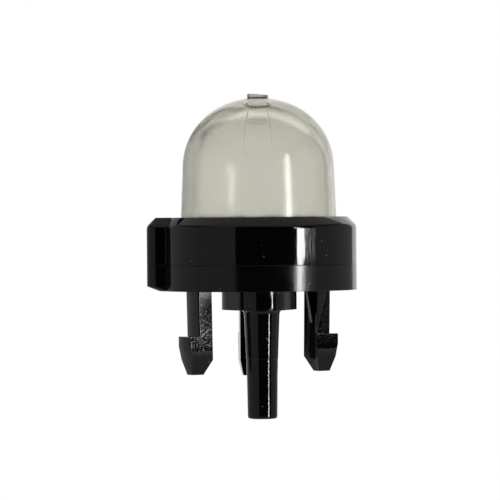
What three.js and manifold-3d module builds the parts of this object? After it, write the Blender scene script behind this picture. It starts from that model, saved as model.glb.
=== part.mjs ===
// Snap-in primer bulb for a small engine's fuel system. A clear dome is clamped by a black retaining ring
// on a black base. Two hose nipples and three barbed legs stand out below the base.
// Millimetres, +Z up through the dome. The origin is on the axis, in the face that sits on the panel.
// The nipples stand front and back (-Y and +Y), and the key lug points to -X.
import * as THREE from "three";
import { mergeVertices } from "three/addons/utils/BufferGeometryUtils.js";
import Module from "manifold-3d";

// Clearance round pieces that are dropped into each other
const fitGap = 0.3;

// Keyed outline, shared by base and ring
const bodyRadius = 11.1;
const lugReach = 1.55; // how far the lug stands out of the circle
const lugHalfWidth = 3.6;
const lugCorner = 1.25;
const lugUndercut = 1.4; // slant under the lug's end
const lugUndercutHeight = 0.55;

// Base
const baseHeight = 2.9; // seat face to the seam with the ring
const floorThickness = 1.6;
const spigotWall = 1.7;
const edgeBreak = 0.15;

// Retaining ring
const ringHeight = 5.4;
const ringWall = 1.3;
const ringChamfer = 1.0;
const lipThickness = 1.2; // holds the bulb's flange down

// Bulb
const bulbWall = 1.1;
const crownWall = 1.7;
const flangeThickness = 1.2;
const nubRadius = 1.18; // gate mark on the crown
const nubHeight = 0.3;
const bulbHeight = 13.5; // above the ring's top face
const bulbRadius = 8.83; // where the dome leaves the ring
const sideHeight = 5.4; // drafted side, before the crown
const bulbDraft = 0.22; // what the side leans in over that height
const crownPower = 2.1; // 2 is an ellipse, more is squarer
const bulbHoleGap = 0.17; // ring hole round the dome

// Check valve
const valveRadius = 5.0;
const valveRim = 0.6;
const valveDome = 0.5; // rise of the disc's middle over its rim
const stemRadius = 1.1;
const stemBead = 0.5; // bead that holds the stem in its hole
const stemBeadHeight = 0.5;
const duckbillLength = 1.5;
const duckbillWidth = 2.0;
const lipsThickness = 0.5;
const valveBore = 0.6;

// Ports in the base
const landWidth = 0.6; // valve seat outside the suction groove
const grooveWidth = 1.9;
const grooveDepth = 0.6;
const chamberRadius = 2.0; // round the duckbill
const chamberRoof = 1.0; // what the stem bead hooks under
const chamberFloor = 0.7;
const linkRadius = 0.45; // from the chamber to the return nipple

// Hub and hose nipples
const hubDepth = 2.2;
const hubRadius = 4.26;
const hubEndRadius = 2.8;
const hubEdge = 0.2;
const nippleOffset = 3.6; // from the axis, front and back
const nippleSide = 0.28; // both stand this far towards +X
const nippleRootRadius = 2.0;
const nippleMidRadius = 1.78;
const nippleTipRadius = 1.68;
const nippleMidDepth = 7.7; // mould parting line, below the seat face
const nippleDepth = 14.4;
const nippleFillet = 0.35;
const nippleTipRound = 0.3;
const nippleBore = 0.85;

// Snap legs
const legAngles = [-62, 120, 186]; // degrees from the front towards +X
const legDepths = [9.4, 9.4, 10.0]; // below the seat face
const legEndHalfWidths = [0.6, 0.6, 1.1];
const legInnerRadius = 7.02;
const legThickness = 1.68;
const legLean = 0.12; // inwards at the barb
const legWidth = 3.0;
const legSideTaper = 1.6;
const barbReach = 0.95;
const barbTop = 5.1; // catches under the panel
const barbFlat = 1.1;
const legInnerTaper = 1.7;
const legInnerLead = 0.62;
const barbLead = 0.7;
const gussetThickness = 0.65;
const gussetDepth = 0.7;
const gussetLength = 4.3;

const wasm = await Module();
wasm.setup();

const radians = THREE.MathUtils.degToRad;
const v2 = (x, y) => new THREE.Vector2(x, y);

// three.js geometry to solid, and back
function solid(geometry) {
  const bare = geometry.clone();
  bare.deleteAttribute("normal");
  bare.deleteAttribute("uv");
  const merged = mergeVertices(bare, 1e-4);
  return new wasm.Manifold(new wasm.Mesh({
    numProp: 3,
    vertProperties: merged.attributes.position.array,
    triVerts: new Uint32Array(merged.index.array),
  }));
}

function geometryOf(made) {
  const { vertProperties, triVerts, numProp } = made.getMesh();
  const position = new Float32Array((vertProperties.length / numProp) * 3);
  for (let i = 0; i < position.length / 3; i++)
    position.set(vertProperties.subarray(i * numProp, i * numProp + 3), i * 3);
  const geometry = new THREE.BufferGeometry();
  geometry.setAttribute("position", new THREE.BufferAttribute(position, 3));
  geometry.setIndex(new THREE.BufferAttribute(new Uint32Array(triVerts), 1));
  geometry.computeVertexNormals();
  return geometry;
}

// Closed profile of [radius, height] points, turned about Z
function revolve(profile, segments) {
  const points = profile.map(([r, z]) => v2(r, z));
  const closed = profile[0][0] === 0 && profile.at(-1)[0] === 0;
  if (!closed) points.push(points[0].clone());
  const around = THREE.ShapeUtils.area(points) < 0;
  if (around) points.reverse();
  return new THREE.LatheGeometry(points, segments).rotateX(Math.PI / 2);
}

// Rings of the same number of points, joined from the lowest to the highest and closed at both ends
function loft(rings) {
  const count = rings[0].length;
  const position = rings.flat().flatMap((p) => [p.x, p.y, p.z]);
  const index = [];
  for (let level = 0; level + 1 < rings.length; level++)
    for (let i = 0; i < count; i++) {
      const next = (i + 1) % count;
      const a = level * count + i, b = level * count + next;
      index.push(a, b, b + count, a, b + count, a + count);
    }
  const cap = (level, flip) => {
    const contour = rings[level].map((p) => v2(p.x, p.y));
    for (const [a, b, c] of THREE.ShapeUtils.triangulateShape(contour, [])) {
      const face = [a, b, c].map((i) => i + level * count);
      index.push(...(flip ? face.reverse() : face));
    }
  };
  cap(0, true);
  cap(rings.length - 1, false);
  const geometry = new THREE.BufferGeometry();
  geometry.setAttribute("position", new THREE.Float32BufferAttribute(position, 3));
  geometry.setIndex(index);
  return geometry;
}

// The round outline with its straight-sided key lug, drawn in by inset and the lug's end cut back by lugCut
function keyedRing(z, inset, lugCut = 0) {
  const radius = bodyRadius - inset;
  const half = lugHalfWidth - inset;
  const end = bodyRadius + lugReach - lugCut - inset;
  const corner = Math.max(lugCorner - inset, 0.1);
  const foot = Math.asin(half / radius);
  const outline = new THREE.Shape();
  outline.absarc(0, 0, radius, -Math.PI + foot, Math.PI - foot);
  outline.absarc(-end + corner, half - corner, corner, Math.PI / 2, Math.PI);
  outline.absarc(-end + corner, -half + corner, corner, Math.PI, 1.5 * Math.PI);
  const [round, , upper, , lower] = outline.curves;
  const points = [...round.getPoints(60), ...upper.getPoints(5), ...lower.getPoints(5)];
  return points.map((p) => new THREE.Vector3(p.x, p.y, z));
}

// Heights that several pieces share
const seamZ = baseHeight;
const ringTopZ = seamZ + ringHeight;
const flangeTopZ = ringTopZ - lipThickness;
const spigotTopZ = flangeTopZ - flangeThickness;
const ringBore = bodyRadius - ringWall;
const spigotRadius = ringBore - fitGap;
const wellRadius = spigotRadius - spigotWall;
const ringHole = bulbRadius + bulbHoleGap;

// Bulb: the side leans in a little, then turns over into a slightly squared crown
function domeProfile(radius, height, steps) {
  const side = (radius / bulbRadius) * (bulbRadius - bulbDraft);
  const crown = Array.from({ length: steps }, (_, i) => {
    const t = (i / steps) * (Math.PI / 2);
    const power = 2 / crownPower;
    return [side * Math.cos(t) ** power, sideHeight + (height - sideHeight) * Math.sin(t) ** power];
  });
  return [[radius, 0], ...crown].map(([r, h]) => [r, ringTopZ + h]);
}
const innerRadius = bulbRadius - bulbWall;
const innerHeight = bulbHeight - crownWall;
const crownZ = ringTopZ + bulbHeight;
const bulbProfile = [
  [0, crownZ + nubHeight], [nubRadius, crownZ + nubHeight], [nubRadius + 0.1, crownZ - 0.06],
  ...domeProfile(bulbRadius, bulbHeight, 15).toReversed(),
  [bulbRadius, flangeTopZ], [spigotRadius, flangeTopZ],
  [spigotRadius, spigotTopZ], [innerRadius, spigotTopZ],
  ...domeProfile(innerRadius, innerHeight, 10),
  [0, ringTopZ + innerHeight],
];
const bulb = solid(revolve(bulbProfile, 64));

// Retaining ring: keyed outside, chamfered top edge, lip over the bulb's flange
const ringBody = solid(loft([
  keyedRing(seamZ, edgeBreak), keyedRing(seamZ + edgeBreak, 0),
  keyedRing(ringTopZ - ringChamfer, 0), keyedRing(ringTopZ, ringChamfer),
]));
const ringCut = solid(revolve([
  [0, seamZ - 1], [ringBore, seamZ - 1], [ringBore, flangeTopZ], [ringHole, flangeTopZ],
  [ringHole, ringTopZ + 1], [0, ringTopZ + 1],
], 72));
const ring = ringBody.subtract(ringCut);

// Base body: keyed disc with a spigot inside the ring
const disc = solid(loft([
  keyedRing(0, 0, lugUndercut), keyedRing(lugUndercutHeight, 0),
  keyedRing(seamZ - edgeBreak, 0), keyedRing(seamZ, edgeBreak),
]));
const spigot = solid(revolve([
  [0, floorThickness / 2], [spigotRadius, floorThickness / 2], [spigotRadius, spigotTopZ],
  [0, spigotTopZ],
], 72));

// Hub: a broad round middle drawn out to a smaller round end under each nipple
const hubTurn = Math.asin((hubRadius - hubEndRadius) / nippleOffset);
function hubOutline(inset) {
  const shape = new THREE.Shape();
  shape.absarc(0, 0, hubRadius - inset, -hubTurn, hubTurn);
  shape.absarc(nippleSide, nippleOffset, hubEndRadius - inset, hubTurn, Math.PI - hubTurn);
  shape.absarc(0, 0, hubRadius - inset, Math.PI - hubTurn, Math.PI + hubTurn);
  shape.absarc(nippleSide, -nippleOffset, hubEndRadius - inset, Math.PI + hubTurn, 2 * Math.PI - hubTurn);
  return shape.getPoints(7);
}
const hubRing = (z, inset) => hubOutline(inset).slice(0, -1).map((p) => new THREE.Vector3(p.x, p.y, z));
const hub = solid(loft([
  hubRing(-hubDepth, hubEdge), hubRing(-hubDepth + hubEdge, 0), hubRing(floorThickness / 2, 0),
]));

// Hose nipple with its root fillet and rounded tip
const nippleProfile = [
  [0, -nippleDepth], [nippleTipRadius - nippleTipRound, -nippleDepth],
  [nippleTipRadius, -nippleDepth + nippleTipRound],
  [nippleMidRadius, -nippleMidDepth], [nippleRootRadius, -hubDepth - nippleFillet],
  [nippleRootRadius + nippleFillet * 0.3, -hubDepth - nippleFillet * 0.3],
  [nippleRootRadius + nippleFillet, -hubDepth], [nippleRootRadius + nippleFillet, -hubDepth / 2],
  [0, -hubDepth / 2],
];
const nippleAt = (y) => solid(revolve(nippleProfile, 32).translate(nippleSide, y, 0));

// Snap legs: a revolved profile, cut to width by a tapered blank
function leg(angle, depth, endHalfWidth) {
  const barbInner = legInnerRadius - legLean;
  const outerRadius = legInnerRadius + legThickness;
  const barbRadius = outerRadius + barbReach;
  const root = floorThickness / 2;
  const profile = [
    [legInnerRadius, root], [barbInner, -(depth - legInnerTaper)], [barbInner + legInnerLead, -depth],
    [barbRadius - barbLead, -depth], [barbRadius, -(barbTop + barbFlat)], [barbRadius, -barbTop],
    [outerRadius - legLean, -barbTop], [outerRadius, root],
  ];
  const half = legWidth / 2;
  const front = new THREE.Shape([
    v2(-half, root + 1), v2(-half, -(depth - legSideTaper)), v2(-endHalfWidth, -depth - 0.01),
    v2(endHalfWidth, -depth - 0.01), v2(half, -(depth - legSideTaper)), v2(half, root + 1),
  ]);
  const reach = barbRadius + 1;
  const blank = new THREE.ExtrudeGeometry(front, { depth: reach, bevelEnabled: false })
    .rotateX(Math.PI / 2).rotateZ(radians(angle));
  const gusset = new THREE.ExtrudeGeometry(new THREE.Shape([
    v2(legInnerRadius - gussetDepth, root), v2(legInnerRadius + 0.5, root),
    v2(legInnerRadius + 0.5, -gussetLength), v2(legInnerRadius - legLean / 2, -gussetLength),
    v2(legInnerRadius - gussetDepth, 0),
  ]), { depth: gussetThickness, bevelEnabled: false })
    .translate(0, 0, -gussetThickness / 2).rotateX(Math.PI / 2).rotateZ(radians(angle - 90));
  return solid(revolve(profile, 72)).intersect(solid(blank)).add(solid(gusset));
}

// Well under the bulb, with the valve's seat, the suction groove and the chamber round the duckbill
const grooveOuter = valveRadius - landWidth;
const stemHole = stemRadius + fitGap;
const chamberTopZ = floorThickness - chamberRoof;
const chamberBottomZ = -hubDepth + chamberFloor;
const wellCut = solid(revolve([
  [0, chamberBottomZ], [chamberRadius, chamberBottomZ], [chamberRadius, chamberTopZ],
  [stemHole, chamberTopZ], [stemHole, floorThickness],
  [grooveOuter - grooveWidth, floorThickness], [grooveOuter - grooveWidth, floorThickness - grooveDepth],
  [grooveOuter, floorThickness - grooveDepth], [grooveOuter, floorThickness],
  [wellRadius, floorThickness], [wellRadius, spigotTopZ + 1], [0, spigotTopZ + 1],
], 48));

const upright = (radius, low, high, y) => solid(
  new THREE.CylinderGeometry(radius, radius, high - low, 20)
    .rotateX(Math.PI / 2).translate(nippleSide, y, (low + high) / 2));
const linkZ = chamberBottomZ + linkRadius + 0.05;
const returnBore = upright(nippleBore, -nippleDepth - 1, linkZ + linkRadius, -nippleOffset);
const suctionBore = upright(nippleBore, -nippleDepth - 1, floorThickness - grooveDepth / 2, nippleOffset);
const link = solid(new THREE.CylinderGeometry(linkRadius, linkRadius, nippleOffset, 12)
  .translate(nippleSide, -nippleOffset / 2, linkZ));

let base = disc.add(spigot).add(hub).add(nippleAt(-nippleOffset)).add(nippleAt(nippleOffset));
legAngles.forEach((angle, i) => {
  base = base.add(leg(angle, legDepths[i], legEndHalfWidths[i]));
});
base = base.subtract(wellCut).subtract(returnBore).subtract(suctionBore).subtract(link);

// Check valve: one elastomer moulding, a disc over the suction groove and a duckbill in the chamber
const beadTopZ = chamberTopZ - fitGap;
const beadBottomZ = beadTopZ - stemBeadHeight;
const disk = revolve([
  [0, beadBottomZ], [stemRadius, beadBottomZ], [stemRadius + stemBead, beadTopZ - 0.1],
  [stemRadius + stemBead, beadTopZ], [stemRadius, beadTopZ], [stemRadius, floorThickness],
  [valveRadius, floorThickness], [valveRadius, floorThickness + valveRim],
  [valveRadius / 2, floorThickness + valveRim + valveDome * 0.7],
  [0, floorThickness + valveRim + valveDome],
], 40);
const duckbillRing = (z, halfX, halfY) => Array.from({ length: 16 }, (_, i) => {
  const a = (i * Math.PI) / 8;
  return new THREE.Vector3(halfX * Math.cos(a), halfY * Math.sin(a), z);
});
const duckbill = loft([
  duckbillRing(beadTopZ - duckbillLength, duckbillWidth / 2, lipsThickness / 2),
  duckbillRing(beadBottomZ + 0.1, stemRadius, stemRadius),
]);
const bore = new THREE.CylinderGeometry(valveBore, valveBore, 2 * floorThickness, 12)
  .rotateX(Math.PI / 2).translate(0, 0, beadBottomZ + floorThickness);
const valve = solid(disk).add(solid(duckbill)).subtract(solid(bore));

const clearUrethane = new THREE.MeshStandardMaterial({
  color: 0xc8c5b6, roughness: 0.12, metalness: 0, transparent: true, opacity: 0.35,
});
const glossBlack = new THREE.MeshStandardMaterial({ color: 0x0d0e11, roughness: 0.22, metalness: 0 });
const satinBlack = new THREE.MeshStandardMaterial({ color: 0x121418, roughness: 0.36, metalness: 0 });
const valveRubber = new THREE.MeshStandardMaterial({ color: 0x1b1b1c, roughness: 0.7, metalness: 0 });

const primerBulb = new THREE.Group();
for (const [name, made, material] of [
  ["bulb", bulb, clearUrethane],
  ["retaining_ring", ring, glossBlack],
  ["base", base, satinBlack],
  ["check_valve", valve, valveRubber],
]) {
  const mesh = new THREE.Mesh(geometryOf(made), material);
  mesh.name = name;
  primerBulb.add(mesh);
}

export default primerBulb;
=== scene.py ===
import bpy
import bmesh
import math
from mathutils import Matrix, Vector


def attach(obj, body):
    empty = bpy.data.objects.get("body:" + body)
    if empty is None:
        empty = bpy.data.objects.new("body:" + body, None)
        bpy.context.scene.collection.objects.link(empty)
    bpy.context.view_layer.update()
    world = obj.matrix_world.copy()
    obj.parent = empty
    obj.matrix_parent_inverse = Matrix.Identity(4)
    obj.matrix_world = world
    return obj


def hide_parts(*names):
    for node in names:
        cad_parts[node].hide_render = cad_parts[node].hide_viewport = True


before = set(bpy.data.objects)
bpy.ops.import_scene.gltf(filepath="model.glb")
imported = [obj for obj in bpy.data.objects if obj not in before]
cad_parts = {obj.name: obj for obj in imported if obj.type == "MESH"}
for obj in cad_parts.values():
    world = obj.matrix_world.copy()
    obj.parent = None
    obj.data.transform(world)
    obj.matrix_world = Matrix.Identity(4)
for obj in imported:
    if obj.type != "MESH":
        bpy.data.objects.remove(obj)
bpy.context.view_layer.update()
mm = 0.001
nearby = 0.01  # mm, two places closer than this are the same
past = 1.0  # mm, a cutter runs out this far past a face


# Small helpers

def linear(hexText):
    # sRGB hex to the linear values Blender works in
    out = []
    for i in (1, 3, 5):
        c = int(hexText[i:i + 2], 16) / 255
        out.append(c / 12.92 if c <= 0.04045 else ((c + 0.055) / 1.055) ** 2.4)
    return (*out, 1.0)


def perMetre(size):
    # a pattern's scale from the real size of its grain, in mm
    return 1 / (size * mm)


def addNode(tree, kind, settings=None, out=0, **links):
    # _0, _1 and so on name a socket by its number, any other word by its name; the answer is one output
    node = tree.nodes.new(kind)
    for key, value in (settings or {}).items():
        setattr(node, key, value)
    for name, value in links.items():
        socket = node.inputs[int(name[1:])] if name[1:].isdigit() else node.inputs[name.replace("_", " ")]
        if isinstance(value, bpy.types.NodeSocket):
            tree.links.new(value, socket)
        else:
            socket.default_value = value
    return node.outputs[out] if node.outputs else None


def onlyThis(obj):
    bpy.ops.object.select_all(action="DESELECT")
    obj.select_set(True)
    bpy.context.view_layer.objects.active = obj
    return obj


def pick(test, kind="VERT"):
    # selects by place, in edit mode
    bpy.ops.mesh.select_mode(type=kind)
    bpy.ops.mesh.select_all(action="DESELECT")
    data = bpy.context.object.data
    mesh = bmesh.from_edit_mesh(data)
    for item in {"VERT": mesh.verts, "EDGE": mesh.edges, "FACE": mesh.faces}[kind]:
        if test(item):
            item.select_set(True)
    mesh.select_flush_mode()
    bmesh.update_edit_mesh(data)


def editStart(name, adder, **settings):
    bpy.ops.object.select_all(action="DESELECT")
    adder(**settings)
    obj = bpy.context.object
    obj.name = obj.data.name = name
    bpy.ops.object.transform_apply(location=True, rotation=True, scale=True)
    bpy.ops.object.mode_set(mode="EDIT")
    bpy.ops.mesh.select_all(action="SELECT")
    return obj


def editEnd():
    bpy.ops.mesh.select_mode(type="VERT")
    bpy.ops.mesh.select_all(action="SELECT")
    bpy.ops.mesh.remove_doubles(threshold=1e-6)
    bpy.ops.mesh.select_all(action="SELECT")
    bpy.ops.mesh.normals_make_consistent(inside=False)
    bpy.ops.object.mode_set(mode="OBJECT")
    return bpy.context.object


def pullFace(stations, start, x=0.0, y=0.0):
    # the selected cap is pulled from each [radius, height] to the next, in mm
    r, z = start
    for nextR, nextZ in stations:
        bpy.ops.mesh.extrude_region_move(TRANSFORM_OT_translate={"value": (0, 0, (nextZ - z) * mm)})
        if nextR != r:
            bpy.ops.transform.resize(value=(nextR / r, nextR / r, 1),
                                     center_override=(x * mm, y * mm, nextZ * mm))
        r, z = nextR, nextZ


def turned(name, stations, around=96, x=0.0, y=0.0):
    r, z = stations[0]
    editStart(name, bpy.ops.mesh.primitive_circle_add, vertices=around, radius=r * mm,
              fill_type="NGON", location=(x * mm, y * mm, z * mm))
    pullFace(stations[1:], (r, z), x, y)
    return editEnd()


def useModifier(obj, kind, **settings):
    onlyThis(obj)
    modifier = obj.modifiers.new(kind.title(), kind)
    for key, value in settings.items():
        setattr(modifier, key, value)
    bpy.ops.object.modifier_apply(modifier=modifier.name)
    return obj


def combine(obj, other, operation):
    useModifier(obj, "BOOLEAN", operation=operation, object=other, solver="EXACT")
    bpy.data.objects.remove(other)
    return obj


def smoothByAngle(obj, angle):
    onlyThis(obj)
    bpy.ops.object.shade_smooth_by_angle(angle=math.radians(angle))
    return obj


def smoothEdges(obj, width, angle=28, segments=3):
    useModifier(obj, "BEVEL", width=width * mm, segments=segments, limit_method="ANGLE",
                angle_limit=math.radians(angle), miter_outer="MITER_ARC")
    return smoothByAngle(obj, angle)


def evenShading(obj):
    # large flat faces keep their own shading between rounded edges
    return useModifier(obj, "WEIGHTED_NORMAL", keep_sharp=True, weight=100)


# Bulb, sizes in mm and degrees

ringTop = 8.3  # the ring's top face, which the dome rises from

bulb = {
    "radius": 8.83,
    "draft": 0.22,  # what the side draws in on its way up
    "sideHeight": 5.4,
    "height": 13.5,
    "crownPower": 2.1,  # 2 is a true ellipse, more is squarer
    "wall": 1.1,
    "crownWall": 1.7,
    "flangeRadius": 9.5,
    "flangeTop": 7.1,
    "flangeBottom": 5.9,
    "gateRadius": 1.18,
    "gateHeight": 0.3,
    "gateFoot": [0.1, -0.035, 0.02],  # its fillet's reach, and its lower and upper edge from the crown
    "gateEdge": [0.06, 0.05],  # across and down
    "gateSlant": -4,
    "coreRadius": 1.05,  # the mould core's mark inside the crown
    "coreHeight": 0.12,
    "coreFoot": [0.06, -0.03],
    "capRadius": 0.3,  # the last small face of a pulled crown
    "around": 160,
    "outerSteps": 34,
    "innerSteps": 26,
    "edge": 0.12,
}


def domeStations(radius, height, steps):
    # [radius, height] up the drafted side and over the crown
    side = radius * (1 - bulb["draft"] / bulb["radius"])
    low, power, sideSteps = bulb["sideHeight"], 2 / bulb["crownPower"], 5
    rise = []
    for i in range(sideSteps + 1):
        t = i / sideSteps
        rise.append((radius + (side - radius) * t, low * t))
    for i in range(1, steps):
        a = i / steps * math.pi / 2
        rise.append((side * math.cos(a) ** power, low + (height - low) * math.sin(a) ** power))
    return [(r, ringTop + h) for r, h in rise]


def makeBulb():
    b = bulb
    crown, gate = ringTop + b["height"], b["gateRadius"]
    gateTop = crown + b["gateHeight"]
    reach, footLow, footHigh = b["gateFoot"]
    across, down = b["gateEdge"]
    outside = [(b["flangeRadius"], b["flangeBottom"]), (b["flangeRadius"], b["flangeTop"]),
               (b["radius"], b["flangeTop"])]
    dome = domeStations(b["radius"], b["height"], b["outerSteps"])
    outside += [s for s in dome if s[0] > gate + reach + 2 * nearby]
    outside += [(gate + reach, crown + footLow), (gate, crown + footHigh),
                (gate, gateTop - down), (gate - across, gateTop), (b["capRadius"], gateTop)]
    obj = editStart("Bulb", bpy.ops.mesh.primitive_circle_add, vertices=b["around"],
                    radius=b["flangeRadius"] * mm, fill_type="NGON", location=(0, 0, b["flangeBottom"] * mm))
    pullFace(outside[1:], outside[0])

    # the gate mark was cut off at a slight slant
    pick(lambda v: v.co.z > (gateTop - down - nearby) * mm)
    bpy.ops.transform.rotate(value=math.radians(b["gateSlant"]), orient_axis="Y",
                             center_override=(gate * mm, 0, gateTop * mm))

    # the hollow is pulled up from the bottom face
    pick(lambda f: f.calc_center_median().z < (b["flangeBottom"] + nearby) * mm, "FACE")
    innerRadius, innerHeight = b["radius"] - b["wall"], b["height"] - b["crownWall"]
    core, innerTop = b["coreRadius"], ringTop + innerHeight
    reach, footLow = b["coreFoot"]
    dome = domeStations(innerRadius, innerHeight, b["innerSteps"])
    inside = [(innerRadius, b["flangeBottom"])] + [s for s in dome if s[0] > core + reach + 2 * nearby]
    inside += [(core + reach, innerTop + footLow), (core, innerTop + b["coreHeight"]),
               (b["capRadius"], innerTop + b["coreHeight"])]
    pullFace(inside, outside[0])
    editEnd()
    return smoothEdges(obj, b["edge"], 32, 2)


# Keyed outline, shared by ring and base, in mm

keyed = {
    "radius": 11.1,
    "lugReach": 1.55,
    "lugHalf": 3.6,
    "lugCorner": 1.25,
    "leastCorner": 0.1,
    "corners": 300,
    "cornerSteps": 10,
}


def keyedOutline(inset, cut):
    # a circle with a straight-sided key lug at -X, drawn in by inset, the lug's end cut back by cut
    k = keyed
    radius, half = k["radius"] - inset, k["lugHalf"] - inset
    end = k["radius"] + k["lugReach"] - cut - inset
    corner = max(k["lugCorner"] - inset, k["leastCorner"])
    foot = math.asin(half / radius)
    arcs = [(0, 0, radius, -math.pi + foot, math.pi - foot, k["corners"] - 2 * k["cornerSteps"]),
            (corner - end, half - corner, corner, math.pi / 2, math.pi, k["cornerSteps"]),
            (corner - end, corner - half, corner, math.pi, 1.5 * math.pi, k["cornerSteps"])]
    points = []
    for x, y, r, start, stop, steps in arcs:
        for i in range(steps):
            a = start + (stop - start) * i / (steps - 1)
            points.append(((x + r * math.cos(a)) * mm, (y + r * math.sin(a)) * mm))
    return sorted(points, key=lambda p: math.atan2(p[1], p[0]))


def shapeLoop(inset, cut):
    # the selected round loop takes the keyed outline, corner by corner
    data = bpy.context.object.data
    mesh = bmesh.from_edit_mesh(data)
    loop = sorted((v for v in mesh.verts if v.select), key=lambda v: math.atan2(v.co.y, v.co.x))
    for v, (x, y) in zip(loop, keyedOutline(inset, cut)):
        v.co.x, v.co.y = x, y
    bmesh.update_edit_mesh(data)


def keyedBlock(name, levels):
    # levels are [height, drawn in by, lug's end cut back by]
    z, inset, cut = levels[0]
    editStart(name, bpy.ops.mesh.primitive_circle_add, vertices=keyed["corners"],
              radius=keyed["radius"] * mm, fill_type="NGON", location=(0, 0, z * mm))
    shapeLoop(inset, cut)
    for nextZ, inset, cut in levels[1:]:
        bpy.ops.mesh.extrude_region_move(TRANSFORM_OT_translate={"value": (0, 0, (nextZ - z) * mm)})
        shapeLoop(inset, cut)
        z = nextZ
    return editEnd()


# Retaining ring, in mm

ring = {
    "bottom": 2.9,
    "bore": 9.8,
    "hole": 9.0,
    "chamfer": 1.0,
    "chamferRound": 0.3,
    "edge": 0.07,
}


def makeRing():
    r = ring
    shoulder = ringTop - r["chamfer"]
    obj = keyedBlock("Retaining_ring", [[r["bottom"], 0, 0], [shoulder, 0, 0], [ringTop, r["chamfer"], 0]])
    lip = bulb["flangeTop"]  # the lip's underside holds the bulb's flange down
    cutter = turned("ringCutter", [(r["bore"], r["bottom"] - past), (r["bore"], lip), (r["hole"], lip),
                                   (r["hole"], ringTop + past)], 192)
    combine(obj, cutter, "DIFFERENCE")
    bpy.ops.object.mode_set(mode="EDIT")
    pick(lambda e: all(abs(v.co.z - shoulder * mm) < nearby * mm for v in e.verts), "EDGE")
    bpy.ops.mesh.bevel(offset=r["chamferRound"] * mm, segments=5, affect="EDGES")
    editEnd()
    return evenShading(smoothEdges(obj, r["edge"]))


# Base with hub, hose nipples and snap legs, in mm and degrees

base = {
    "height": 2.9,
    "spigotRadius": 9.5,
    "well": 7.8,
    "floor": 1.6,  # the valve seat, on the floor of the well
    "grooveInner": 2.5,
    "grooveOuter": 4.4,
    "grooveFloor": 1.0,
    "stemHole": 1.4,
    "chamberRadius": 2.0,
    "chamberRoof": 0.6,
    "chamberBottom": -1.5,
    "lugCut": 1.4,  # the lug's end slants in below
    "lugCutHeight": 0.55,
    "overlap": 0.8,  # hub, spigot and legs start this high inside the disc
    "edge": 0.07,
}

hub = {"depth": 2.2, "radius": 4.26, "endRadius": 2.8, "edge": 0.3}

nipple = {
    "side": 0.28,
    "offset": 3.6,
    # [radius, height] from inside the hub, round the root, past the fine parting line and over the tip
    "stations": [(2.35, -1.1), (2.35, -2.2), (2.24, -2.25), (2.13, -2.33), (2.05, -2.44), (2.0, -2.6),
                 (1.79, -7.66), (1.80, -7.7), (1.775, -7.74), (1.68, -14.08), (1.65, -14.24),
                 (1.56, -14.35), (1.4, -14.4)],
    "bore": 0.85,
    "frontBoreTop": -0.5,  # blind, level with the duckbill's chamber; what links them is left out
    "rearBoreTop": 1.3,  # opens into the suction groove
}

leg = {
    "angles": [-62, 120, 186],  # from the front, towards +X
    "depths": [9.4, 9.4, 10.0],
    "ends": [0.6, 0.6, 1.1],  # half width at the tip
    "inner": 7.02,
    "outer": 8.7,
    "lean": 0.12,  # the outside leans in by this down to the barb, the inside down to the taper
    "barbLean": 0.08,  # the inside's lean at the barb
    "flatLean": 0.1,  # and at the end of its flat
    "tipIn": 0.5,
    "half": 1.5,
    "barb": 9.65,
    "barbTop": 5.1,
    "barbFlat": 1.1,
    "barbLead": 0.7,
    "taper": 1.7,
    "gusset": {"half": 0.325, "depth": 0.7, "length": 4.3, "into": 0.5},
    "corner": 0.16,
    "edge": 0.08,
}


def pulledBar(name, stations, splits=8):
    # stations are [height, inner radius, outer radius, half width], pulled along Z and curved round the axis
    z, low, high, half = stations[0]
    obj = editStart(name, bpy.ops.mesh.primitive_grid_add, x_subdivisions=1, y_subdivisions=splits, size=1,
                    location=(0, 0, 0))
    bpy.ops.transform.resize(value=((high - low) * mm, 2 * half * mm, 1), center_override=(0, 0, 0))
    bpy.ops.transform.translate(value=((low + high) / 2 * mm, 0, z * mm))
    for nextZ, nextLow, nextHigh, nextHalf in stations[1:]:
        bpy.ops.mesh.extrude_region_move(TRANSFORM_OT_translate={
            "value": ((nextLow + nextHigh - low - high) / 2 * mm, 0, (nextZ - z) * mm)})
        bpy.ops.transform.resize(
            value=((nextHigh - nextLow) / (high - low), nextHalf / half, 1),
            center_override=((nextLow + nextHigh) / 2 * mm, 0, nextZ * mm))
        z, low, high, half = nextZ, nextLow, nextHigh, nextHalf
    mesh = bmesh.from_edit_mesh(obj.data)
    for v in mesh.verts:
        v.co.x = math.sqrt(max(v.co.x ** 2 - v.co.y ** 2, 0))
    bmesh.update_edit_mesh(obj.data)
    return editEnd()


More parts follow.
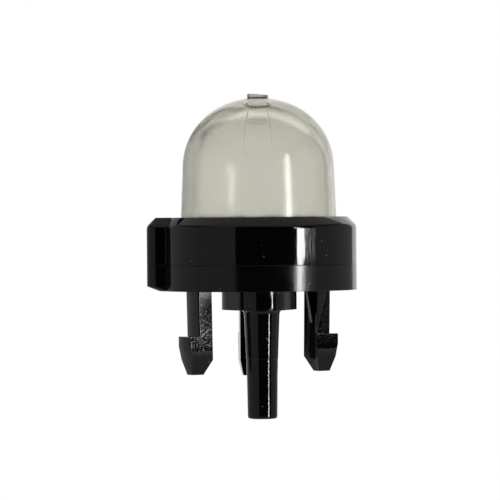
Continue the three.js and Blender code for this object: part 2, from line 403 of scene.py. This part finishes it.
def makeLeg(angle, depth, end):
    g, q, start = leg, leg["gusset"], base["overlap"]
    flatEnd = g["barbTop"] + g["barbFlat"]
    outerEnd = g["barb"] - g["barbLead"]
    slope = (g["barb"] - outerEnd) / (depth - flatEnd)
    atTaper = g["barb"] - slope * (depth - g["taper"] - flatEnd)
    shank = pulledBar("leg", [
        [start, g["inner"], g["outer"], g["half"]],
        [-g["barbTop"], g["inner"] - g["barbLean"], g["outer"] - g["lean"], g["half"]],
        [-g["barbTop"], g["inner"] - g["barbLean"], g["barb"], g["half"]],
        [-flatEnd, g["inner"] - g["flatLean"], g["barb"], g["half"]],
        [-depth + g["taper"], g["inner"] - g["lean"], atTaper, g["half"]],
        [-depth, g["inner"] + g["tipIn"], outerEnd, end],
    ])
    # the shank's two long outer corners are rounder than the rest
    bpy.ops.object.mode_set(mode="EDIT")
    middle = (g["inner"] + g["outer"]) / 2
    pick(lambda e: abs(e.verts[0].co.z - e.verts[1].co.z) > g["barbTop"] / 2 * mm
         and all(abs(abs(v.co.y) - g["half"] * mm) < nearby * mm for v in e.verts)
         and all(math.hypot(v.co.x, v.co.y) > middle * mm for v in e.verts)
         and all(v.co.z > (-g["barbTop"] - nearby) * mm for v in e.verts), "EDGE")
    bpy.ops.mesh.bevel(offset=g["corner"] * mm, segments=4, affect="EDGES")
    editEnd()
    smoothEdges(shank, g["edge"], 32, 2)
    rib = pulledBar("gusset", [
        [start, g["inner"] - q["depth"], g["inner"] + q["into"], q["half"]],
        [0.0, g["inner"] - q["depth"], g["inner"] + q["into"], q["half"]],
        [-q["length"], g["inner"] - g["barbLean"], g["inner"] + q["into"], q["half"]],
    ], 1)
    combine(shank, rib, "UNION")
    onlyThis(shank)
    shank.rotation_euler.z = math.radians(angle - 90)
    bpy.ops.object.transform_apply(location=True, rotation=True, scale=True)
    return shank


def makeHub():
    # a round boss drawn out to a smaller round end at each nipple, by a hull over their circles
    h = hub
    rounds = [(h["radius"], 0, 0), (h["endRadius"], nipple["side"], -nipple["offset"]),
              (h["endRadius"], nipple["side"], nipple["offset"])]
    circles = [(r, x, y, z) for z in (base["overlap"], -h["depth"]) for r, x, y in rounds]
    r, x, y, z = circles[0]
    obj = editStart("hub", bpy.ops.mesh.primitive_circle_add, vertices=96, radius=r * mm,
                    location=(x * mm, y * mm, z * mm))
    for r, x, y, z in circles[1:]:
        bpy.ops.mesh.primitive_circle_add(vertices=96, radius=r * mm, location=(x * mm, y * mm, z * mm))
    bpy.ops.mesh.select_all(action="SELECT")
    bpy.ops.mesh.convex_hull()
    editEnd()
    return smoothEdges(obj, h["edge"], 40, 4)


def makeBase():
    b, n = base, nipple
    obj = keyedBlock("Base", [[0, 0, b["lugCut"]], [b["lugCutHeight"], 0, 0], [b["height"], 0, 0]])
    smoothEdges(obj, b["edge"], 20, 2)
    spigotTop = bulb["flangeBottom"]
    spigot = turned("spigot", [(b["spigotRadius"], b["overlap"]), (b["spigotRadius"], spigotTop)], 128)
    combine(obj, spigot, "UNION")
    combine(obj, makeHub(), "UNION")
    for y in (-n["offset"], n["offset"]):
        combine(obj, turned("nipple", n["stations"], 64, n["side"], y), "UNION")
    for angle, depth, end in zip(leg["angles"], leg["depths"], leg["ends"]):
        combine(obj, makeLeg(angle, depth, end), "UNION")

    # one cutter from the duckbill's chamber up through the stem hole, the suction groove and the well
    well = turned("wellCutter", [
        (b["chamberRadius"], b["chamberBottom"]), (b["chamberRadius"], b["chamberRoof"]),
        (b["stemHole"], b["chamberRoof"]), (b["stemHole"], b["floor"]), (b["grooveInner"], b["floor"]),
        (b["grooveInner"], b["grooveFloor"]), (b["grooveOuter"], b["grooveFloor"]),
        (b["grooveOuter"], b["floor"]), (b["well"], b["floor"]), (b["well"], spigotTop + past)], 96)
    combine(obj, well, "DIFFERENCE")
    below = n["stations"][-1][1] - past
    for y, top in ((-n["offset"], n["frontBoreTop"]), (n["offset"], n["rearBoreTop"])):
        bore = turned("boreCutter", [(n["bore"], below), (n["bore"], top)], 48, n["side"], y)
        combine(obj, bore, "DIFFERENCE")
    return evenShading(smoothByAngle(obj, 28))


# Check valve, in mm

valve = {
    "stem": 1.1,
    "bill": 0.55,
    "billBottom": -1.15,
    "billTop": -0.15,
    "billWide": 1.8,  # the bill is spread this many times one way
    "lips": 0.25,  # and flattened to this half thickness the other
    "bead": 1.6,
    "beadBottom": 0.2,
    "beadTop": 0.3,
    "disc": 5.0,
    "discTop": 2.2,
    "rim": [0.1, 0.08],  # its rounded edges, across and up
    # [radius, height] over the disc's domed top
    "crown": [(3.9, 2.36), (2.5, 2.55), (1.2, 2.67), (0.6, 2.7)],
    "recess": (0.6, 0.4),  # down the middle into the stem
    "edge": 0.05,
}


def makeValve():
    v = valve
    seat, (across, up) = base["floor"], v["rim"]
    obj = turned("Check_valve", [
        (v["bill"], v["billBottom"]), (v["stem"], v["billTop"]), (v["bead"], v["beadBottom"]),
        (v["bead"], v["beadTop"]), (v["stem"], v["beadTop"]), (v["stem"], seat),
        (v["disc"] - across, seat), (v["disc"], seat + up), (v["disc"], v["discTop"] - up),
        (v["disc"] - across, v["discTop"]), *v["crown"], v["recess"]])
    # duckbill lips, flattened from the round stem
    bpy.ops.object.mode_set(mode="EDIT")
    pick(lambda w: w.co.z < (v["billBottom"] + nearby) * mm)
    bpy.ops.transform.resize(value=(v["billWide"], v["lips"] / v["bill"], 1),
                             center_override=(0, 0, v["billBottom"] * mm))
    editEnd()
    return smoothEdges(obj, v["edge"], 32, 2)


# Materials, pattern sizes and depths in mm

def newMaterial(name):
    material = bpy.data.materials.new(name)
    material.use_nodes = True
    tree = material.node_tree
    tree.nodes.clear()
    return material, tree


urethane = {
    "surface": "#ebebe7",
    "body": "#cbc39c",  # what the thickness of the wall adds
    "bodyDensity": 150.0,
    "gleam": 0.25,
    "waves": 3.846,
    "wavesDepth": 0.4,
    "grain": 0.3846,
    "grainDepth": 0.06,
    "haze": [0.08, 0.16],  # roughness
    "gateFrost": 0.5,
    "mouldLines": [11, -11.5],  # degrees from the front
    "lineHalf": [0.09, 0.03],  # a line fades out at the first and is full at the second
    "lineGrows": [13.8, 16.8],  # heights it grows in between
    "lineEnds": [20.8, 19.8],  # and ends between
    "lineRough": 0.55,
    "skinFrom": 7.8,  # the outer skin is farther than this from the crown's centre
}


def clearUrethane():
    # moulded polyurethane elastomer: clear but a little hazed and yellowed, with soft waves from the mould
    u = urethane
    material, tree = newMaterial("Clear_polyurethane_moulded")
    spot = addNode(tree, "ShaderNodeTexCoord", out="Object")
    y = addNode(tree, "ShaderNodeSeparateXYZ", out="Y", Vector=spot)
    z = addNode(tree, "ShaderNodeSeparateXYZ", out="Z", Vector=spot)
    waves = addNode(tree, "ShaderNodeTexNoise", Vector=spot, Scale=perMetre(u["waves"]), Detail=2.0)
    grain = addNode(tree, "ShaderNodeTexNoise", Vector=spot, Scale=perMetre(u["grain"]), Detail=3.0)
    wavy = addNode(tree, "ShaderNodeBump", Strength=0.12, Distance=u["wavesDepth"] * mm, Height=waves)
    normal = addNode(tree, "ShaderNodeBump", Strength=0.04, Distance=u["grainDepth"] * mm, Height=grain,
                     Normal=wavy)
    haze = addNode(tree, "ShaderNodeMapRange", Value=waves, To_Min=u["haze"][0], To_Max=u["haze"][1])

    # the gate mark was cut, so it is frosted
    crown = (ringTop + bulb["height"]) * mm
    frosted = addNode(tree, "ShaderNodeMapRange", Value=z, From_Min=crown, From_Max=crown + 0.1 * mm,
                      To_Max=u["gateFrost"])

    # two fine mould lines run down the front of the crown, on the outer skin only
    lines = 0.0
    for angle in u["mouldLines"]:
        a = math.radians(angle)
        across = addNode(tree, "ShaderNodeVectorMath", {"operation": "DOT_PRODUCT"}, out="Value",
                         _0=spot, _1=(math.cos(a), math.sin(a), 0))
        off = addNode(tree, "ShaderNodeMath", {"operation": "ABSOLUTE"}, _0=across)
        line = addNode(tree, "ShaderNodeMapRange", Value=off, From_Min=u["lineHalf"][0] * mm,
                       From_Max=u["lineHalf"][1] * mm)
        lines = addNode(tree, "ShaderNodeMath", {"operation": "MAXIMUM"}, _0=line, _1=lines)
    grows = addNode(tree, "ShaderNodeMapRange", Value=z, From_Min=u["lineGrows"][0] * mm,
                    From_Max=u["lineGrows"][1] * mm, To_Max=u["lineRough"])
    ends = addNode(tree, "ShaderNodeMapRange", Value=z, From_Min=u["lineEnds"][0] * mm,
                   From_Max=u["lineEnds"][1] * mm)
    inFront = addNode(tree, "ShaderNodeMath", {"operation": "LESS_THAN"}, _0=y, _1=0.0)
    outward = addNode(tree, "ShaderNodeVectorMath", {"operation": "DISTANCE"}, out="Value",
                      _0=spot, _1=(0, 0, (ringTop + bulb["sideHeight"]) * mm))
    onSkin = addNode(tree, "ShaderNodeMath", {"operation": "GREATER_THAN"}, _0=outward, _1=u["skinFrom"] * mm)
    for share in (grows, ends, inFront, onSkin):
        lines = addNode(tree, "ShaderNodeMath", {"operation": "MULTIPLY"}, _0=lines, _1=share)

    rough = haze
    for other in (frosted, lines):
        rough = addNode(tree, "ShaderNodeMath", {"operation": "MAXIMUM"}, _0=rough, _1=other)
    skin = addNode(tree, "ShaderNodeBsdfPrincipled", Roughness=rough, IOR=1.5, Normal=normal,
                   Transmission_Weight=1.0, Base_Color=linear(u["surface"]), Specular_IOR_Level=u["gleam"])
    absorb = addNode(tree, "ShaderNodeVolumeAbsorption", Color=linear(u["body"]), Density=u["bodyDensity"])
    addNode(tree, "ShaderNodeOutputMaterial", Surface=skin, Volume=absorb)
    return material


nylon = {
    "smears": 3.125,
    "scratches": 0.1923,  # across, drawn coarser than real ones so that they show
    "scratchStretch": 0.06,
    "scratchHeight": 0.2,
    "pits": 0.3448,  # also drawn coarse enough to show
    "pitsFrom": [-1.0, -5.0],  # heights that the pits grow in between
    "bumpDepth": 0.05,
    "specks": 1.724,  # apart
    "speckFade": [0.075, 0.045],  # shares of that distance
    "speckColour": "#63625f",
    "polishFrom": [0.0, -1.0],  # heights that the gloss sharpens between
    "polish": 0.5,
}


def blackPlastic(name, colour, roughness, spread, pitting):
    # moulded nylon: deep black, its gloss dulled in patches by handling, with upright scratches and dust
    n = nylon
    material, tree = newMaterial(name)
    spot = addNode(tree, "ShaderNodeTexCoord", out="Object")
    z = addNode(tree, "ShaderNodeSeparateXYZ", out="Z", Vector=spot)
    smear = addNode(tree, "ShaderNodeTexNoise", Vector=spot, Scale=perMetre(n["smears"]), Detail=5.0)
    dulled = addNode(tree, "ShaderNodeMapRange", Value=smear, From_Min=0.3, From_Max=0.7,
                     To_Min=roughness, To_Max=roughness + spread)
    # legs and nipples are rubbed less than the body, so they keep a sharper gloss
    polish = addNode(tree, "ShaderNodeMapRange", Value=z, From_Min=n["polishFrom"][0] * mm,
                     From_Max=n["polishFrom"][1] * mm, To_Min=1.0, To_Max=n["polish"])
    gloss = addNode(tree, "ShaderNodeMath", {"operation": "MULTIPLY"}, _0=dulled, _1=polish)

    upright = addNode(tree, "ShaderNodeMapping", Vector=spot, Scale=(1, 1, n["scratchStretch"]))
    scratch = addNode(tree, "ShaderNodeTexNoise", Vector=upright, Scale=perMetre(n["scratches"]), Detail=2.0)
    shallow = addNode(tree, "ShaderNodeMath", {"operation": "MULTIPLY"}, _0=scratch, _1=n["scratchHeight"])
    pits = addNode(tree, "ShaderNodeTexNoise", Vector=spot, Scale=perMetre(n["pits"]), Detail=4.0)
    pitted = addNode(tree, "ShaderNodeMapRange", Value=z, From_Min=n["pitsFrom"][0] * mm,
                     From_Max=n["pitsFrom"][1] * mm, To_Max=pitting)
    heights = addNode(tree, "ShaderNodeMath", {"operation": "MULTIPLY_ADD"}, _0=pits, _1=pitted, _2=shallow)
    normal = addNode(tree, "ShaderNodeBump", Strength=0.35, Distance=n["bumpDepth"] * mm, Height=heights)

    dust = addNode(tree, "ShaderNodeTexVoronoi", out="Distance", Vector=spot, Scale=perMetre(n["specks"]))
    speck = addNode(tree, "ShaderNodeMapRange", Value=dust, From_Min=n["speckFade"][0],
                    From_Max=n["speckFade"][1])
    tint = addNode(tree, "ShaderNodeMix", {"data_type": "RGBA"}, out=2, Factor=speck,
                   _6=linear(colour), _7=linear(n["speckColour"]))
    skin = addNode(tree, "ShaderNodeBsdfPrincipled", Roughness=gloss, IOR=1.5, Normal=normal, Base_Color=tint)
    addNode(tree, "ShaderNodeOutputMaterial", Surface=skin)
    return material


rubber = {"bloom": 1.111, "bloomDepth": 0.03, "dark": "#181818", "pale": "#262626", "roughness": 0.65}


def valveRubber():
    # moulded nitrile rubber: matt, very dark grey, with a faint paler bloom
    q = rubber
    material, tree = newMaterial("Nitrile_rubber_moulded")
    spot = addNode(tree, "ShaderNodeTexCoord", out="Object")
    bloom = addNode(tree, "ShaderNodeTexNoise", Vector=spot, Scale=perMetre(q["bloom"]), Detail=4.0)
    paler = addNode(tree, "ShaderNodeMapRange", Value=bloom, From_Min=0.35, From_Max=0.7)
    tint = addNode(tree, "ShaderNodeMix", {"data_type": "RGBA"}, out=2, Factor=paler,
                   _6=linear(q["dark"]), _7=linear(q["pale"]))
    normal = addNode(tree, "ShaderNodeBump", Strength=0.2, Distance=q["bloomDepth"] * mm, Height=bloom)
    skin = addNode(tree, "ShaderNodeBsdfPrincipled", Base_Color=tint, Roughness=q["roughness"], IOR=1.5,
                   Normal=normal)
    addNode(tree, "ShaderNodeOutputMaterial", Surface=skin)
    return material


# Build

def dress(obj, material, node):
    obj.data.materials.clear()
    obj.data.materials.append(material)
    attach(obj, "root")
    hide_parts(node)
    print(obj.name, "done,", len(obj.data.polygons), "faces")


ringBlack = {"colour": "#060606", "roughness": 0.035, "spread": 0.05, "pitting": 0.0}
baseBlack = {"colour": "#070707", "roughness": 0.12, "spread": 0.06, "pitting": 0.6}

dress(makeBulb(), clearUrethane(), "bulb")
dress(makeRing(), blackPlastic("Black_nylon_moulded_gloss", **ringBlack), "retaining_ring")
dress(makeBase(), blackPlastic("Black_nylon_moulded_satin", **baseBlack), "base")
dress(makeValve(), valveRubber(), "check_valve")


# Studio, in metres

studio = {
    "around": 0.6,  # the panels' distance from the part
    # from and to in degrees from the front towards +X, low and high edge, radiance
    "panels": {
        # one tall window, split so that each height of the part has its own width of highlight
        "windowFoot": [47, 50.5, -0.15, -0.03, 30.0],
        "windowLow": [43, 50, -0.03, -0.012, 30.0],
        "windowMiddle": [46, 52, -0.012, -0.005, 24.0],
        "windowUpper": [45, 55, -0.005, 0.02, 24.0],
        "windowHigh": [42, 50, 0.02, 0.22, 9.0],
        # an upright blind beside it, dimmer with each slat
        "blindA": [57.2, 57.9, -0.005, 0.02, 11.0],
        "blindB": [59.4, 60.1, -0.005, 0.02, 10.0],
        "blindC": [61.8, 62.5, -0.005, 0.02, 8.0],
        "blindD": [64.6, 65.3, -0.005, 0.02, 6.0],
        "blindE": [67.6, 68.3, -0.005, 0.02, 5.0],
        # pale walls on both sides, for the greys in the black gloss
        "wallRight": [68, 120, -0.35, 0.35, 0.27],
        "wallBackRight": [120, 150, -0.35, 0.35, 0.25],
        "wallLeft": [-78, -27, -0.35, 0.35, 0.27],
        "wallFarLeft": [-128, -78, -0.35, 0.35, 0.28],
        "wallBackLeft": [-160, -128, -0.35, 0.35, 0.34],
    },
    "ceiling": {"height": 0.9, "size": 2.2, "radiance": 0.36},
    "floor": {"height": -0.1, "size": 0.8, "glow": 0.6},
    "backdrop": {"at": 1.3, "from": -0.42, "to": 0.95, "low": -0.8, "high": 1.6, "glow": 1.0},
    "paper": "#f2f2f2",
    "roomGlow": 0.01,
    "roomThroughDome": 0.32,  # what the clear bulb sees of the room
}


def areaLight(name, spot, facing, width, height, radiance):
    lamp = bpy.data.lights.new(name, "AREA")
    lamp.shape = "RECTANGLE"
    lamp.size, lamp.size_y = width, height
    lamp.energy = radiance * math.pi * width * height
    obj = bpy.data.objects.new(name, lamp)
    bpy.context.scene.collection.objects.link(obj)
    obj.location = spot
    obj.rotation_euler = Vector(facing).to_track_quat("-Z", "Y").to_euler()
    obj.visible_camera = False
    return obj


def sheet(name, width, height, middle, material, turn=(0, 0, 0)):
    bpy.ops.object.select_all(action="DESELECT")
    bpy.ops.mesh.primitive_plane_add(size=1)
    obj = bpy.context.object
    obj.name = obj.data.name = name
    obj.scale = (width, height, 1)
    obj.rotation_euler = turn
    obj.location = middle
    bpy.ops.object.transform_apply(location=True, rotation=True, scale=True)
    obj.data.materials.append(material)
    return obj


def paperMaterial(name, rays, strength, shaded):
    # matt white paper that glows for these kinds of ray, on top of its own shading where it is shaded
    material, tree = newMaterial(name)
    paper = addNode(tree, "ShaderNodeBsdfDiffuse", Color=linear(studio["paper"]))
    glow = addNode(tree, "ShaderNodeEmission", Strength=strength)
    which = addNode(tree, "ShaderNodeLightPath", out=rays[0])
    for ray in rays[1:]:
        other = addNode(tree, "ShaderNodeLightPath", out=ray)
        which = addNode(tree, "ShaderNodeMath", {"operation": "MAXIMUM"}, _0=which, _1=other)
    if shaded:
        glow = addNode(tree, "ShaderNodeAddShader", _0=glow, _1=paper)
    mix = addNode(tree, "ShaderNodeMixShader", _0=which, _1=paper, _2=glow)
    addNode(tree, "ShaderNodeOutputMaterial", Surface=mix)
    return material


def makeStudio():
    s = studio
    for name, (start, stop, low, high, radiance) in s["panels"].items():
        middle, half = math.radians((start + stop) / 2), math.radians((stop - start) / 2)
        x, y = s["around"] * math.sin(middle), -s["around"] * math.cos(middle)
        areaLight(name, (x, y, (low + high) / 2), (-x, -y, 0), 2 * s["around"] * math.tan(half), high - low,
                  radiance)
    c = s["ceiling"]
    areaLight("ceiling", (0, 0, c["height"]), (0, 0, -1), c["size"], c["size"], c["radiance"])

    f, b = s["floor"], s["backdrop"]
    sheet("Floor", f["size"], f["size"], (0, 0, f["height"]),
          paperMaterial("White_paper_floor", ["Is Camera Ray"], f["glow"], True))
    sheet("Backdrop", b["to"] - b["from"], b["high"] - b["low"],
          ((b["from"] + b["to"]) / 2, b["at"], (b["low"] + b["high"]) / 2),
          paperMaterial("White_paper_backdrop", ["Is Camera Ray", "Is Glossy Ray", "Is Transmission Ray"],
                        b["glow"], False), (math.pi / 2, 0, 0))

    world = bpy.data.worlds.new("Studio")
    bpy.context.scene.world = world
    world.use_nodes = True
    tree = world.node_tree
    tree.nodes.clear()
    throughDome = addNode(tree, "ShaderNodeLightPath", out="Is Transmission Ray")
    byCamera = addNode(tree, "ShaderNodeLightPath", out="Is Camera Ray")
    room = addNode(tree, "ShaderNodeMapRange", Value=throughDome, To_Min=s["roomGlow"],
                   To_Max=s["roomThroughDome"])
    strength = addNode(tree, "ShaderNodeMath", {"operation": "MAXIMUM"}, _0=byCamera, _1=room)
    sky = addNode(tree, "ShaderNodeBackground", Color=linear("#ffffff"), Strength=strength)
    addNode(tree, "ShaderNodeOutputWorld", Surface=sky)


camera = {
    "distance": 400.0,  # mm, as are height and sideways
    "height": 8.3,
    "sideways": -1.0,
    "pitch": 0.537,  # degrees down
    "roll": -0.008,  # radians
    "lens": 253.7,
}


def makeCamera():
    c = camera
    data = bpy.data.cameras.new("Camera")
    data.lens = c["lens"]
    data.clip_start, data.clip_end = 0.01, 20
    obj = bpy.data.objects.new("Camera", data)
    bpy.context.scene.collection.objects.link(obj)
    tilt = Matrix.Rotation(math.radians(90 - c["pitch"]), 4, "X") @ Matrix.Rotation(c["roll"], 4, "Z")
    obj.matrix_world = Matrix.Translation((c["sideways"] * mm, -c["distance"] * mm, c["height"] * mm)) @ tilt
    bpy.context.scene.camera = obj


makeStudio()
makeCamera()
bpy.context.scene.view_settings.view_transform = "Standard"
print("studio and camera done")
